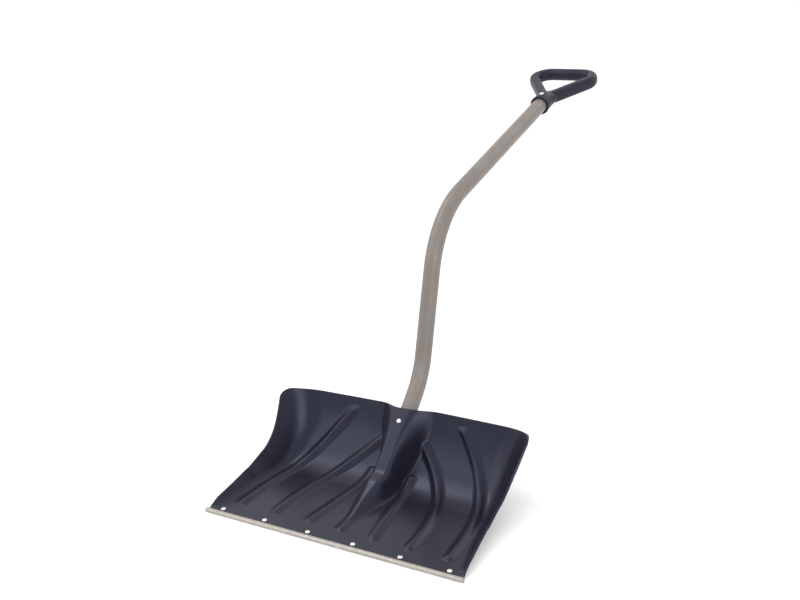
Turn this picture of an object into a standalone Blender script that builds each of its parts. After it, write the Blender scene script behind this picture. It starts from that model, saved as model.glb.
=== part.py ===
"""Snow shovel: ribbed plastic scoop, riveted steel wear strip, bent tube and D-grip.

Metres, +Z up. X runs across the scoop, Y from the cutting edge towards the grip.
The scoop lies flat with its cutting edge at Y = 0 and the handle rises behind it.
"""

import math

import bmesh
import bpy
from mathutils import Matrix, Vector

# ---- driving dimensions -------------------------------------------------------------

GAP = 0.0003

STRIP_HALF = 0.2270
STRIP_SHEET = 0.0012
STRIP_BOTTOM = 0.0011
STRIP_HEIGHT = 0.0056
LIP_DEPTH = 0.0066
FLANGE_DEPTH = 0.0220
FLANGE_TRIM = 0.0060

RIVET_PITCH = 0.0800
RIVET_SETBACK = 0.0138
RIVET_COUNT = 6
RIVET_HEAD = 0.0037
RIVET_SHANK = 0.0024
RIVET_HOLE = 0.0028
RIVET_SINK = 0.0038
RIVET_SINK_DEPTH = 0.0009

FRONT_WALL = 0.0024
SHELL_WALL = 0.0034
EDGE_START = 0.0024
FLAT_LENGTH = 0.1515
FLAT_SLOPE = 0.2
LOWER_RADIUS = 0.114
LOWER_TURN = 53.0
UPPER_RADIUS = 0.185
UPPER_TURN = 19.0

HALF_FRONT = 0.2245
HALF_MIDDLE = 0.2163
HALF_TOP = 0.2300
SIDE_WALL = 0.0513
SIDE_ANGLE = math.radians(59.0)
SIDE_FILLET = 0.016
TOP_FILLET = 0.060
SIDE_START = 0.0045
SIDE_RISE = 0.20
CORNER = 0.022
TOP_ARCH = 0.0022
ARCH_SPAN = 0.440

RIB_HEIGHT = 0.0054
RIB_HALF = 0.0130
RIB_START = 0.038
CREST_COVER = 0.0205
MOUTH_FLARE = -0.0015
NOSE_START = 0.050
NOSE_LENGTH = 0.130
NOSE_HEIGHT = 0.047

TUBE_OUTER = 0.01425
TUBE_WALL = 0.0012
TUBE_START = (0.2113, 0.0508)
TUBE_PLAN = (
    ("straight", 0.105, 41.8),
    ("bend", 0.133, 72.9),
    ("straight", 0.144, 72.9),
    ("bend", 0.158, 13.5),
    ("straight", 0.405, 13.5),
)
SLEEVE_OUTER = 0.0172
SLEEVE_CLEAR = 0.0152
SLEEVE_END = 0.005
SLEEVE_LENGTH = 0.074
BOLT_STATION = 0.050
BOLT_SHANK = 0.0024
BOLT_HOLE = 0.0028
BOLT_HEAD = 0.0040
BOLT_SEAT = 0.0050
BOLT_SEAT_DEPTH = 0.0012
NUT_OUTER = 0.0052

GRIP_BORE = TUBE_OUTER + GAP
GRIP_COLLAR = 0.0182
GRIP_LENGTH = 0.165
GRIP_HALF = 0.0607
GRIP_CORNER = 0.029
GRIP_FOOT = 0.0433
FOOT_RADIUS = 0.015
GRIP_INSERT = 0.030
GRIP_ARM_WIDE = 0.0100
GRIP_ARM_THICK = 0.0125
GRIP_BAR_WIDE = 0.0110
GRIP_BAR_THICK = 0.0120
GRIP_RIVET_STATION = 0.017
GRIP_RIVET_SHANK = 0.0022
GRIP_RIVET_HOLE = 0.0026

# ---- small helpers ------------------------------------------------------------------


def clear_scene():
    for item in list(bpy.data.objects):
        bpy.data.objects.remove(item, do_unlink=True)


def material(name, colour, roughness, metallic):
    made = bpy.data.materials.new(name)
    made.use_nodes = True
    shader = made.node_tree.nodes["Principled BSDF"]
    shader.inputs["Base Color"].default_value = (*colour, 1.0)
    shader.inputs["Roughness"].default_value = roughness
    shader.inputs["Metallic"].default_value = metallic
    return made


def make_object(name, points, faces, surface=None):
    """Mesh object with outward faces, smooth except across sharp edges."""
    mesh = bpy.data.meshes.new(name)
    mesh.from_pydata([tuple(p) for p in points], [], faces)
    work = bmesh.new()
    work.from_mesh(mesh)
    bmesh.ops.recalc_face_normals(work, faces=work.faces)
    work.to_mesh(mesh)
    work.free()
    item = bpy.data.objects.new(name, mesh)
    bpy.context.collection.objects.link(item)
    if surface:
        mesh.materials.append(surface)
        mesh.shade_smooth()
        mesh.set_sharp_from_angle(angle=math.radians(35))
    return item


def as_cutter(item):
    item.hide_render = True
    item.display_type = "WIRE"
    return item


def boolean(item, other, operation):
    """Join other to item or cut it away, and hide it."""
    step = item.modifiers.new(other.name, "BOOLEAN")
    step.operation = operation
    step.solver = "EXACT"
    step.object = as_cutter(other)


def ring_faces(rings, count, closed=False, capped=True):
    """Quads joining rings of equal point count, with end caps or a closed loop."""
    faces = []
    last = rings if closed else rings - 1
    for r in range(last):
        here = r * count
        there = ((r + 1) % rings) * count
        for k in range(count):
            nxt = (k + 1) % count
            faces.append((here + k, here + nxt, there + nxt, there + k))
    if capped and not closed:
        faces.append(tuple(range(count)))
        faces.append(tuple((rings - 1) * count + k for k in range(count)))
    return faces


def lathe(name, profile, frame, segments, surface=None):
    """Turn (radius, height) pairs, whose two ends lie on the axis, about local Z."""
    points = [Vector((0, 0, profile[0][1]))]
    for radius, height in profile[1:-1]:
        for k in range(segments):
            turn = 2 * math.pi * k / segments
            points.append(Vector((radius * math.cos(turn), radius * math.sin(turn), height)))
    points.append(Vector((0, 0, profile[-1][1])))
    rings = len(profile) - 2
    faces = []
    for r in range(rings - 1):
        for k in range(segments):
            nxt = (k + 1) % segments
            low = 1 + r * segments
            high = low + segments
            faces.append((low + k, low + nxt, high + nxt, high + k))
    top = len(points) - 1
    last = 1 + (rings - 1) * segments
    for k in range(segments):
        nxt = (k + 1) % segments
        faces.append((0, 1 + nxt, 1 + k))
        faces.append((top, last + k, last + nxt))
    return make_object(name, [frame @ p for p in points], faces, surface)


def axis_frame(origin, direction):
    """Frame at origin whose Z follows direction and whose X stays across the shovel."""
    z = Vector(direction).normalized()
    x = Vector((1, 0, 0))
    x = (x - z * x.dot(z)).normalized() if abs(z.x) < 0.9 else Vector((0, 1, 0))
    y = z.cross(x)
    turned = Matrix((x, y, z)).transposed().to_4x4()
    return Matrix.Translation(Vector(origin)) @ turned


def ease(value, low, high):
    t = min(1.0, max(0.0, (value - low) / (high - low)))
    return t * t * (3 - 2 * t)


# ---- scoop surface ------------------------------------------------------------------

LOWER_ARC = LOWER_RADIUS * math.radians(LOWER_TURN)
UPPER_ARC = UPPER_RADIUS * math.radians(UPPER_TURN)
SCOOP_LENGTH = FLAT_LENGTH + LOWER_ARC + UPPER_ARC
SCOOP_TOP_Z = STRIP_BOTTOM + STRIP_SHEET + GAP + FRONT_WALL


def arc_step(start, angle, radius, turn):
    centre = (start[0] - radius * math.sin(angle), start[1] + radius * math.cos(angle))
    end = angle + turn
    return (centre[0] + radius * math.sin(end), centre[1] - radius * math.cos(end)), end


def blend(a, b, share):
    return a + (b - a) * share


def centre_line(s):
    """Point (y, z) and slope of the scoop's upper face at arc length s."""
    angle = math.radians(FLAT_SLOPE)
    flat = min(s, FLAT_LENGTH)
    point = (EDGE_START + flat * math.cos(angle), SCOOP_TOP_Z + flat * math.sin(angle))
    if s > FLAT_LENGTH:
        run = min(s - FLAT_LENGTH, LOWER_ARC)
        point, angle = arc_step(point, angle, LOWER_RADIUS, run / LOWER_RADIUS)
    if s > FLAT_LENGTH + LOWER_ARC:
        run = s - FLAT_LENGTH - LOWER_ARC
        point, angle = arc_step(point, angle, UPPER_RADIUS, run / UPPER_RADIUS)
    return point, angle


def half_width(u):
    bend = 2 * HALF_TOP + 2 * HALF_FRONT - 4 * HALF_MIDDLE
    return HALF_FRONT + (HALF_TOP - HALF_FRONT - bend) * u + bend * u * u


def side_angle(s):
    """Lean of the side wall: flat inside the wear strip, steep soon after it."""
    return SIDE_ANGLE * math.sin(math.pi / 2 * min(1.0, max(0.0, (s - 0.0045) / 0.0255)))


def side_length(s):
    """Length of the side wall measured up its face, before the top corner is rounded."""
    height = SIDE_WALL * math.sin(math.pi * s / SCOOP_LENGTH / 1.55) ** 1.55
    ramp = SIDE_START + SIDE_RISE * min(s, 0.10)
    return max(height, ramp) / math.sin(SIDE_ANGLE)


def corner_cut(s):
    into = max(0.0, s - (SCOOP_LENGTH - CORNER)) / CORNER
    return CORNER * (1 - math.sqrt(max(0.0, 1 - into * into)))


def fold(s):
    """Fold angle, its tangent length and the length of its arc at one row."""
    angle = side_angle(s)
    fillet = blend(SIDE_FILLET, TOP_FILLET, ease(s, 0.14, 0.30))
    tangent = min(fillet * math.tan(SIDE_ANGLE / 2), 0.95 * side_length(s))
    if angle < 0.01:
        return 0.0, tangent, 2 * tangent
    return angle, tangent, tangent / math.tan(angle / 2) * angle


def rib_ridge(x, s, centre, low, high):
    """Height of one rounded rib with a blunt lower end and a softer upper end."""
    across = abs(x - centre) / RIB_HALF
    if across >= 1:
        return 0.0
    along = ease(s, low - 0.008, low + 0.008) * (1 - ease(s, high - 0.018, high + 0.010))
    return RIB_HEIGHT * along * (0.5 + 0.5 * math.cos(math.pi * across))


def rib_heights(x, s):
    """Outer, middle and inner rib heights on one half, and the short centre rib."""
    side = abs(x)
    inner, middle, outer = rib_centres(s)
    return (
        rib_ridge(side, s, outer, RIB_START, 0.302),
        rib_ridge(side, s, middle, RIB_START, 0.300) * ease(middle, 0.034, 0.056),
        0.8 * rib_ridge(side, s, inner, RIB_START, 0.206),
        0.8 * rib_ridge(side, s, 0.0, RIB_START, 0.100),
    )


def crest_height(s):
    """Height of the hump's crest: a low nose, then a run parallel to the tube."""
    (y, z), slope = centre_line(s)
    axis = math.radians(TUBE_PLAN[0][2])
    ahead = -(y - TUBE_START[0]) * math.sin(axis) + (z - TUBE_START[1]) * math.cos(axis)
    cover = CREST_COVER + MOUTH_FLARE * ease(s, SCOOP_LENGTH - 0.050, SCOOP_LENGTH)
    beside = (cover - ahead) / math.cos(slope - axis)
    nose = NOSE_HEIGHT * (max(0.0, s - NOSE_START) / NOSE_LENGTH) ** 1.25
    share = ease(s, 0.140, 0.180)
    return nose * (1 - share) + beside * share


def spine_height(x, s):
    """Height of the central hump that houses the tube."""
    crest = crest_height(s)
    wide = ease(s, 0.040, 0.175)
    plateau = blend(0.0012, 0.0080, ease(s, 0.095, 0.170))
    foot = blend(0.0085, 0.0305, wide) + 0.020 * ease(s, SCOOP_LENGTH - 0.13, SCOOP_LENGTH)
    return crest * (1 - ease(abs(x), plateau, foot)) ** 0.85


def face_height(x, s):
    parts = (*rib_heights(x, s), spine_height(x, s))
    return sum(p**4 for p in parts) ** 0.25


def section_point(across, s, flat_half):
    """Offset (x, n) of the cross-section at distance across from the centre."""
    angle, tangent, bend = fold(s)
    if across <= flat_half or angle == 0.0:
        return across, 0.0
    radius = tangent / math.tan(angle / 2)
    turn = min(angle, (across - flat_half) / radius)
    rest = max(0.0, across - flat_half - bend)
    x = flat_half + radius * math.sin(turn) + rest * math.cos(angle)
    n = radius * (1 - math.cos(turn)) + rest * math.sin(angle)
    return x, n


def scoop_point(x, n, s):
    arch = TOP_ARCH * math.cos(math.pi * x / ARCH_SPAN)
    (y, z), angle = centre_line(s + arch * ease(s, SCOOP_LENGTH - 0.06, SCOOP_LENGTH))
    return Vector((x, y - n * math.sin(angle), z + n * math.cos(angle)))


def rib_centres(s):
    """Distance of the inner, middle and outer rib from the middle of the scoop."""
    u = s / SCOOP_LENGTH
    inner = 0.0590 - 0.0240 * min(1.0, max(0.0, (u - 0.08) / 0.52))
    middle = 0.120 - 0.108 * max(0.0, (u - 0.08) / 0.82) ** 2.8
    outer = 0.1845 - 0.079 * max(0.0, (u - 0.08) / 0.85) ** 2.6
    return inner, middle, outer


def flat_columns(s, flat_half):
    """Column distances on the flat: over the hump, along each rib, then to the fold."""
    across = [0.0, 0.005, 0.010, 0.0145, 0.0185, 0.0225, 0.0265, 0.031]
    centres = [max(c, low) for c, low in zip(rib_centres(s), (0.040, 0.053, 0.088))]
    for centre in centres:
        first = centre - RIB_HALF
        across.append(0.5 * (across[-1] + first))
        across += [centre + RIB_HALF * k for k in (-1.0, -0.5, 0.0, 0.5, 1.0)]
    across += [0.5 * (across[-1] + flat_half), flat_half]
    for k in range(len(across) - 2, 0, -1):
        across[k] = min(across[k], across[k + 1] - 0.0012)
    for k in range(1, len(across)):
        across[k] = max(across[k], across[k - 1] + 0.0012)
    return across


def row_columns(s):
    """Distances from the middle, along the section, of every column of one row."""
    angle, tangent, bend = fold(s)
    length = side_length(s)
    fold_at = half_width(s / SCOOP_LENGTH) - length * math.cos(angle)
    flat_half = fold_at - tangent
    total = bend + length - tangent - corner_cut(s)
    curled = min(bend, 0.8 * total)
    across = flat_columns(s, flat_half)
    across += [flat_half + curled * k / 3 for k in range(1, 4)]
    across += [flat_half + blend(curled, total, k / 2) for k in range(1, 3)]
    return across, flat_half


def scoop_rows():
    straight = [0.0, 0.0048, 0.010, 0.019, 0.030, 0.0355, 0.041, 0.0465]
    count = 19
    stop = SCOOP_LENGTH - CORNER
    rows = [straight[-1] + (stop - straight[-1]) * k / count for k in range(1, count + 1)]
    round_end = [stop + CORNER * math.sin(math.pi / 2 * k / 4) for k in range(1, 5)]
    return straight + rows + round_end


def wall_drop(x, s):
    """Depth of the lower face below the upper one, measured square to the scoop."""
    step = 0.0005
    slope = (face_height(x + step, s) - face_height(abs(x - step), s)) / (2 * step)
    wall = FRONT_WALL if s < 0.025 else SHELL_WALL
    return wall * min(2.6, math.sqrt(1 + slope * slope))


def half_row(s):
    """Upper and lower (x, n) pairs of one row, from the middle to the right edge."""
    across, flat_half = row_columns(s)
    angle, tangent, bend = fold(s)
    wall = FRONT_WALL if s < 0.025 else SHELL_WALL
    upper, lower = [], []
    for value in across:
        x, n = section_point(value, s, flat_half)
        rise = face_height(value, s)
        if value <= flat_half:
            upper.append((x, rise))
            lower.append((x, rise - wall_drop(value, s)))
            continue
        lean = angle * min(1.0, (value - flat_half) / bend)
        upper.append((x - rise * math.sin(lean), n + rise * math.cos(lean)))
        lower.append((x + wall * math.sin(lean), n - wall * math.cos(lean)))
    return upper, lower


def full_row(half, s):
    left = [scoop_point(-x, n, s) for x, n in reversed(half[1:])]
    return left + [scoop_point(x, n, s) for x, n in half]


def scoop_shell(surface):
    upper, lower = [], []
    for s in scoop_rows():
        top, bottom = half_row(s)
        upper.append(full_row(top, s))
        lower.append(full_row(bottom, s))
    wide, tall = len(upper[0]), len(upper)
    points = [p for line in upper + lower for p in line]
    shift = wide * tall
    faces = []
    for r in range(tall - 1):
        for c in range(wide - 1):
            a = r * wide + c
            quad = (a, a + 1, a + 1 + wide, a + wide)
            faces.append(quad)
            faces.append(tuple(shift + k for k in reversed(quad)))
    border = list(range(wide))
    border += [r * wide + wide - 1 for r in range(1, tall)]
    border += [(tall - 1) * wide + c for c in range(wide - 2, -1, -1)]
    border += [r * wide for r in range(tall - 2, 0, -1)]
    for k, a in enumerate(border):
        b = border[(k + 1) % len(border)]
        faces.append((a, shift + a, shift + b, b))
    return make_object("scoop", points, faces, surface)


# ---- tube ---------------------------------------------------------------------------


def tube_stations(step):
    """Centre points and slopes along the handle, from the socket to the grip."""
    y, z = TUBE_START
    angle = math.radians(TUBE_PLAN[0][2])
    out = [((y, z), angle)]
    for kind, size, target in TUBE_PLAN:
        if kind == "straight":
            y += size * math.cos(angle)
            z += size * math.sin(angle)
            out.append(((y, z), angle))
            continue
        turn = math.radians(target) - angle
        count = max(2, round(abs(turn) / step))
        sign = 1 if turn > 0 else -1
        for _ in range(count):
            point, angle = arc_step((y, z), angle, sign * size, turn / count)
            y, z = point
            out.append(((y, z), angle))
    return out


def handle_tube(surface):
    segments = 20
    stations = tube_stations(math.radians(7))
    points = []
    for radius in (TUBE_OUTER, TUBE_OUTER - TUBE_WALL):
        for (y, z), angle in stations:
            for k in range(segments):
                turn = 2 * math.pi * k / segments
                lift = radius * math.sin(turn)
                offset = (-lift * math.sin(angle), lift * math.cos(angle))
                points.append(Vector((radius * math.cos(turn), y + offset[0], z + offset[1])))
    rings = len(stations)
    shift = rings * segments
    faces = ring_faces(rings, segments, capped=False)
    faces += [tuple(shift + k for k in reversed(f)) for f in faces[:]]
    for base in (0, (rings - 1) * segments):
        for k in range(segments):
            nxt = (k + 1) % segments
            faces.append((base + k, base + nxt, shift + base + nxt, shift + base + k))
    return make_object("handle_tube", points, faces, surface)


def socket_axis():
    angle = math.radians(TUBE_PLAN[0][2])
    return Vector((0, *TUBE_START)), Vector((0, math.cos(angle), math.sin(angle)))


def rod(name, start, end, radius, segments):
    length = (end - start).length
    profile = [(0, 0), (radius, 0), (radius, length), (0, length)]
    return lathe(name, profile, axis_frame(start, end - start), segments)


def drill(item, name, start, end, radius):
    """Round hole through item from start to end."""
    boolean(item, rod(name, start, end, radius, 16), "DIFFERENCE")


# ---- fasteners ----------------------------------------------------------------------


def rivet_position(index):
    x = (index - (RIVET_COUNT - 1) / 2) * RIVET_PITCH
    (_, z), _ = centre_line(RIVET_SETBACK - EDGE_START)
    return Vector((x, RIVET_SETBACK, z))


def rivet(index, surface):
    """Domed rivet whose tail is spread flush into the flange's countersink."""
    top = rivet_position(index)
    low = STRIP_BOTTOM - top.z
    profile = [
        (0, low + 0.0001),
        (RIVET_SINK - 0.0004, low + 0.0001),
        (RIVET_SHANK, low + 0.0001 + RIVET_SINK_DEPTH),
        (RIVET_SHANK, GAP),
        (RIVET_HEAD, GAP),
        (0.0041, GAP + 0.0009),
        (0.0026, GAP + 0.0018),
        (0, GAP + 0.0021),
    ]
    frame = Matrix.Translation(top)
    return lathe(f"strip_rivet_{index + 1}", profile, frame, 12, surface)


def socket_bolt_frame():
    """Frame on the hump's crest, Z pointing out of it, square to the tube."""
    start, along = socket_axis()
    out = Vector((0, -along.z, along.y))
    return axis_frame(start + along * BOLT_STATION, out)


def crest_over_tube(station):
    """Distance from the tube's axis out to the hump's crest at one station."""
    start, along = socket_axis()
    foot = start + along * station
    out = Vector((0, -along.z, along.y))
    low, high = FLAT_LENGTH, SCOOP_LENGTH
    for _ in range(40):
        middle = 0.5 * (low + high)
        offset = scoop_point(0.0, face_height(0.0, middle), middle) - foot
        if offset.dot(along) > 0:
            high = middle
        else:
            low = middle
    return offset.dot(out)


def bolt_seat():
    return crest_over_tube(BOLT_STATION) - BOLT_SEAT_DEPTH


def socket_bolt(surface):
    head = bolt_seat() + GAP
    tail = -(SLEEVE_OUTER + 0.0075)
    profile = [
        (0, tail),
        (BOLT_SHANK, tail),
        (BOLT_SHANK, head),
        (BOLT_HEAD, head),
        (0.0048, head + 0.0012),
        (0.0030, head + 0.0026),
        (0, head + 0.0030),
    ]
    return lathe("socket_bolt", profile, socket_bolt_frame(), 14, surface)


def socket_nut(surface):
    frame = socket_bolt_frame()
    low = -(SLEEVE_OUTER + 0.0055)
    high = -(SLEEVE_OUTER + GAP)
    points = []
    rings = ((NUT_OUTER, low), (NUT_OUTER, high), (BOLT_HOLE, high), (BOLT_HOLE, low))
    for radius, height in rings:
        for k in range(6):
            turn = math.pi / 3 * k
            points.append(frame @ Vector((radius * math.cos(turn), radius * math.sin(turn), height)))
    return make_object("socket_nut", points, ring_faces(4, 6, closed=True), surface)


# ---- strip --------------------------------------------------------------------------


def wear_strip(surface):
    """Folded steel section: long flange below, rounded nose, short lip on top."""
    low = STRIP_BOTTOM
    high = STRIP_BOTTOM + STRIP_HEIGHT
    nose = STRIP_HEIGHT / 2
    outline = [(FLANGE_DEPTH, low), (nose, low)]
    for k in range(1, 6):
        turn = -math.pi / 2 - math.pi * k / 6
        outline.append((nose + nose * math.cos(turn), low + nose + nose * math.sin(turn)))
    outline += [(nose, high), (LIP_DEPTH, high), (LIP_DEPTH, high - STRIP_SHEET)]
    inner = nose - STRIP_SHEET
    outline.append((nose, high - STRIP_SHEET))
    for k in range(1, 4):
        turn = math.pi / 2 + math.pi * k / 4
        outline.append((nose + inner * math.cos(turn), low + nose + inner * math.sin(turn)))
    outline += [(nose, low + STRIP_SHEET), (FLANGE_DEPTH, low + STRIP_SHEET)]
    points = []
    for side in (-1, 1):
        for y, z in outline:
            trim = FLANGE_TRIM * max(0.0, y - LIP_DEPTH) / (FLANGE_DEPTH - LIP_DEPTH)
            points.append(Vector((side * (STRIP_HALF - trim), y, z)))
    faces = ring_faces(2, len(outline))
    return make_object("wear_strip", points, faces, surface)


# ---- grip ---------------------------------------------------------------------------


def grip_frame():
    (y, z), angle = tube_stations(math.radians(7))[-1]
    along = Vector((0, math.cos(angle), math.sin(angle)))
    return axis_frame(Vector((0, y, z)) - along * GRIP_INSERT, along)


def arc_points(centre, radius, start, stop, count):
    out = []
    for k in range(count + 1):
        turn = start + (stop - start) * k / count
        out.append((centre[0] + radius * math.cos(turn), centre[1] + radius * math.sin(turn)))
    return out


def grip_loop():
    """Centre line of the D in the grip's own plane: bar, corners, arms and rounded foot."""
    corner = Vector((GRIP_HALF - GRIP_CORNER, GRIP_LENGTH - GRIP_CORNER))
    foot = Vector((0, GRIP_FOOT + FOOT_RADIUS))
    reach = corner - foot
    lean = math.acos((FOOT_RADIUS - GRIP_CORNER) / reach.length)
    normal = math.atan2(reach.y, reach.x) - lean
    half = [(0.0, GRIP_LENGTH), (0.45 * corner.x, GRIP_LENGTH)]
    half += arc_points(corner, GRIP_CORNER, math.pi / 2, normal, 7)
    start = half[-1]
    bottom = arc_points(foot, FOOT_RADIUS, normal, -math.pi / 2, 4)
    for k in (1 / 3, 2 / 3):
        half.append(tuple(a + (b - a) * k for a, b in zip(start, bottom[0])))
    half += bottom
    return half + [(-x, t) for x, t in reversed(half[1:-1])]


def grip_ring(name):
    loop = grip_loop()
    count = 12
    points = []
    frame = grip_frame()
    for k, (x, t) in enumerate(loop):
        before = Vector(loop[k - 1])
        after = Vector(loop[(k + 1) % len(loop)])
        tangent = (after - before).normalized()
        side = Vector((-tangent.y, tangent.x))
        bar = ease(t, 0.120, GRIP_LENGTH)
        wide = GRIP_ARM_WIDE + (GRIP_BAR_WIDE - GRIP_ARM_WIDE) * bar
        thick = GRIP_ARM_THICK + (GRIP_BAR_THICK - GRIP_ARM_THICK) * bar
        for j in range(count):
            turn = 2 * math.pi * j / count
            flat = side * (wide * math.cos(turn))
            local = Vector((x + flat.x, thick * math.sin(turn), t + flat.y))
            points.append(frame @ local)
    return make_object(name, points, ring_faces(len(loop), count, closed=True))


def d_grip(surface):
    """Collar with a blind bore for the tube, joined to the D-shaped ring."""
    frame = grip_frame()
    rim = GRIP_COLLAR
    profile = [
        (0, GRIP_INSERT + 0.001),
        (GRIP_BORE, GRIP_INSERT + 0.001),
        (GRIP_BORE, 0.0),
        (rim + 0.0014, 0.0),
        (rim + 0.0014, 0.006),
        (rim, 0.011),
        (rim - 0.0004, 0.040),
        (rim - 0.0030, 0.052),
        (0.0100, 0.059),
        (0, 0.061),
    ]
    body = lathe("d_grip", profile, frame, 20, surface)
    boolean(body, grip_ring("grip_ring"), "UNION")
    return body


def grip_rivet_frame():
    frame = grip_frame()
    origin = frame @ Vector((0, 0, GRIP_RIVET_STATION))
    return axis_frame(origin, frame.to_3x3() @ Vector((0, -1, 0)))


def grip_rivet(surface):
    """One-piece rivet through the grip's collar and the tube end."""
    reach = GRIP_COLLAR + 0.0002
    profile = [
        (0, -reach - 0.0012),
        (0.0040, -reach - 0.0012),
        (0.0040, -reach),
        (GRIP_RIVET_SHANK, -reach),
        (GRIP_RIVET_SHANK, reach),
        (0.0042, reach),
        (0.0038, reach + 0.0010),
        (0.0022, reach + 0.0019),
        (0, reach + 0.0022),
    ]
    return lathe("grip_rivet", profile, grip_rivet_frame(), 12, surface)


# ---- assembly -----------------------------------------------------------------------


def drill_rivet_holes(item, label):
    for index in range(RIVET_COUNT):
        top = rivet_position(index)
        low = top - Vector((0, 0, 0.02))
        high = top + Vector((0, 0, 0.01))
        drill(item, f"{label}_hole_{index + 1}", low, high, RIVET_HOLE)


def countersink(strip):
    """Conical seats under the flange, so that the rivet tails lie flush."""
    for index in range(RIVET_COUNT):
        top = rivet_position(index)
        foot = Matrix.Translation(Vector((top.x, top.y, STRIP_BOTTOM)))
        flare = RIVET_SINK + (RIVET_SINK - RIVET_HOLE)
        profile = [
            (0, -RIVET_SINK_DEPTH),
            (flare, -RIVET_SINK_DEPTH),
            (RIVET_HOLE, RIVET_SINK_DEPTH),
            (0, RIVET_SINK_DEPTH),
        ]
        boolean(strip, lathe(f"strip_sink_{index + 1}", profile, foot, 16), "DIFFERENCE")


def drill_across(item, name, frame, radius):
    low = frame @ Vector((0, 0, -0.05))
    high = frame @ Vector((0, 0, 0.05))
    drill(item, name, low, high, radius)


def tube_cup(name):
    """Blind moulded sleeve that holds the lower end of the tube."""
    start, along = socket_axis()
    inner = TUBE_OUTER + GAP
    profile = [
        (0, -SLEEVE_END),
        (SLEEVE_OUTER, -SLEEVE_END),
        (SLEEVE_OUTER, SLEEVE_LENGTH),
        (inner, SLEEVE_LENGTH),
        (inner, -0.001),
        (0, -0.001),
    ]
    return lathe(name, profile, axis_frame(start, along), 24)


def build_scoop(surface):
    """Shell with the tube's sleeve moulded on behind the hump, and its screw holes."""
    scoop = scoop_shell(surface)
    start, along = socket_axis()
    reach = start + along * 0.16
    boolean(scoop, rod("bore", start - along * 0.003, reach, SLEEVE_CLEAR, 24), "DIFFERENCE")
    drill_rivet_holes(scoop, "scoop")
    boolean(scoop, tube_cup("sleeve"), "UNION")
    frame = socket_bolt_frame()
    drill_across(scoop, "scoop_bolt_hole", frame, BOLT_HOLE)
    seat = frame @ Vector((0, 0, bolt_seat()))
    drill(scoop, "bolt_seat", seat, frame @ Vector((0, 0, 0.05)), BOLT_SEAT)
    return scoop


def main():
    clear_scene()
    plastic = material("scoop_plastic", (0.035, 0.038, 0.060), 0.38, 0.0)
    build_scoop(plastic)
    strip = wear_strip(material("strip_steel", (0.52, 0.50, 0.47), 0.42, 0.9))
    drill_rivet_holes(strip, "strip")
    countersink(strip)
    steel = material("rivet_steel", (0.72, 0.72, 0.70), 0.35, 0.9)
    for index in range(RIVET_COUNT):
        rivet(index, steel)
    tube = handle_tube(material("tube_paint", (0.27, 0.24, 0.22), 0.42, 0.1))
    drill_across(tube, "tube_bolt_hole", socket_bolt_frame(), BOLT_HOLE)
    drill_across(tube, "tube_rivet_hole", grip_rivet_frame(), GRIP_RIVET_HOLE)
    grip = d_grip(material("grip_plastic", (0.045, 0.046, 0.062), 0.48, 0.0))
    drill_across(grip, "grip_rivet_hole", grip_rivet_frame(), GRIP_RIVET_HOLE)
    grip_rivet(material("grip_rivet_steel", (0.72, 0.72, 0.70), 0.35, 0.9))
    socket_bolt(material("bolt_steel", (0.72, 0.72, 0.70), 0.35, 0.9))
    socket_nut(material("nut_steel", (0.55, 0.55, 0.54), 0.40, 0.9))


main()
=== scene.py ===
"""Looks of the snow shovel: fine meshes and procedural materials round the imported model.

Metres, +Z up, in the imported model's frame: X across the scoop, Y from the cutting edge
towards the grip. Every piece rides on the one body, root.
"""

import math

import bmesh
import bpy
from mathutils import Matrix, Vector


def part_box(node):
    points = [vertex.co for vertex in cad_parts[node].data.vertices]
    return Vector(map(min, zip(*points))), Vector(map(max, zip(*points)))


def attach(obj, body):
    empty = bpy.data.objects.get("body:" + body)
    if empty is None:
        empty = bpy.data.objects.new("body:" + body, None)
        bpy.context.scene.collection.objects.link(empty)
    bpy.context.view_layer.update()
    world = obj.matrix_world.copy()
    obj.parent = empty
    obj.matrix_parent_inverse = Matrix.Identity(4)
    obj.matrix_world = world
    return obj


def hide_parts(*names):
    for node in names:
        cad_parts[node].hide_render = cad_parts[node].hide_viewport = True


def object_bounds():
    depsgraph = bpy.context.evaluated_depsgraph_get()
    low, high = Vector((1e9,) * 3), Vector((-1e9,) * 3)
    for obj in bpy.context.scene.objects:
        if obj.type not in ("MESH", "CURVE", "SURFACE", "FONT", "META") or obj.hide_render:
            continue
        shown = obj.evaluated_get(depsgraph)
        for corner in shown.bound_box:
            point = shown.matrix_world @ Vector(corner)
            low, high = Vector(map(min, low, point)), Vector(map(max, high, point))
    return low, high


# ---- dimensions, most of them shared with the solid parts ----------------------------------

GAP = 0.0003

STRIP_HALF = 0.2270
STRIP_SHEET = 0.0012
STRIP_EDGE = 0.00025
STRIP_BOTTOM = 0.0011
STRIP_HEIGHT = 0.0056
LIP_DEPTH = 0.0066
FLANGE_DEPTH = 0.0220
FLANGE_TRIM = 0.0060
STRIP_WAVE = 0.00012

FRONT_WALL = 0.0024
SHELL_WALL = 0.0034
EDGE_START = 0.0024
FLAT_LENGTH = 0.1515
FLAT_SLOPE = math.radians(0.2)
LOWER_RADIUS = 0.114
LOWER_ARC = LOWER_RADIUS * math.radians(53.0)
UPPER_RADIUS = 0.185
UPPER_ARC = UPPER_RADIUS * math.radians(19.0)
SCOOP_LENGTH = FLAT_LENGTH + LOWER_ARC + UPPER_ARC
SCOOP_TOP_Z = STRIP_BOTTOM + STRIP_SHEET + GAP + FRONT_WALL

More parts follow.
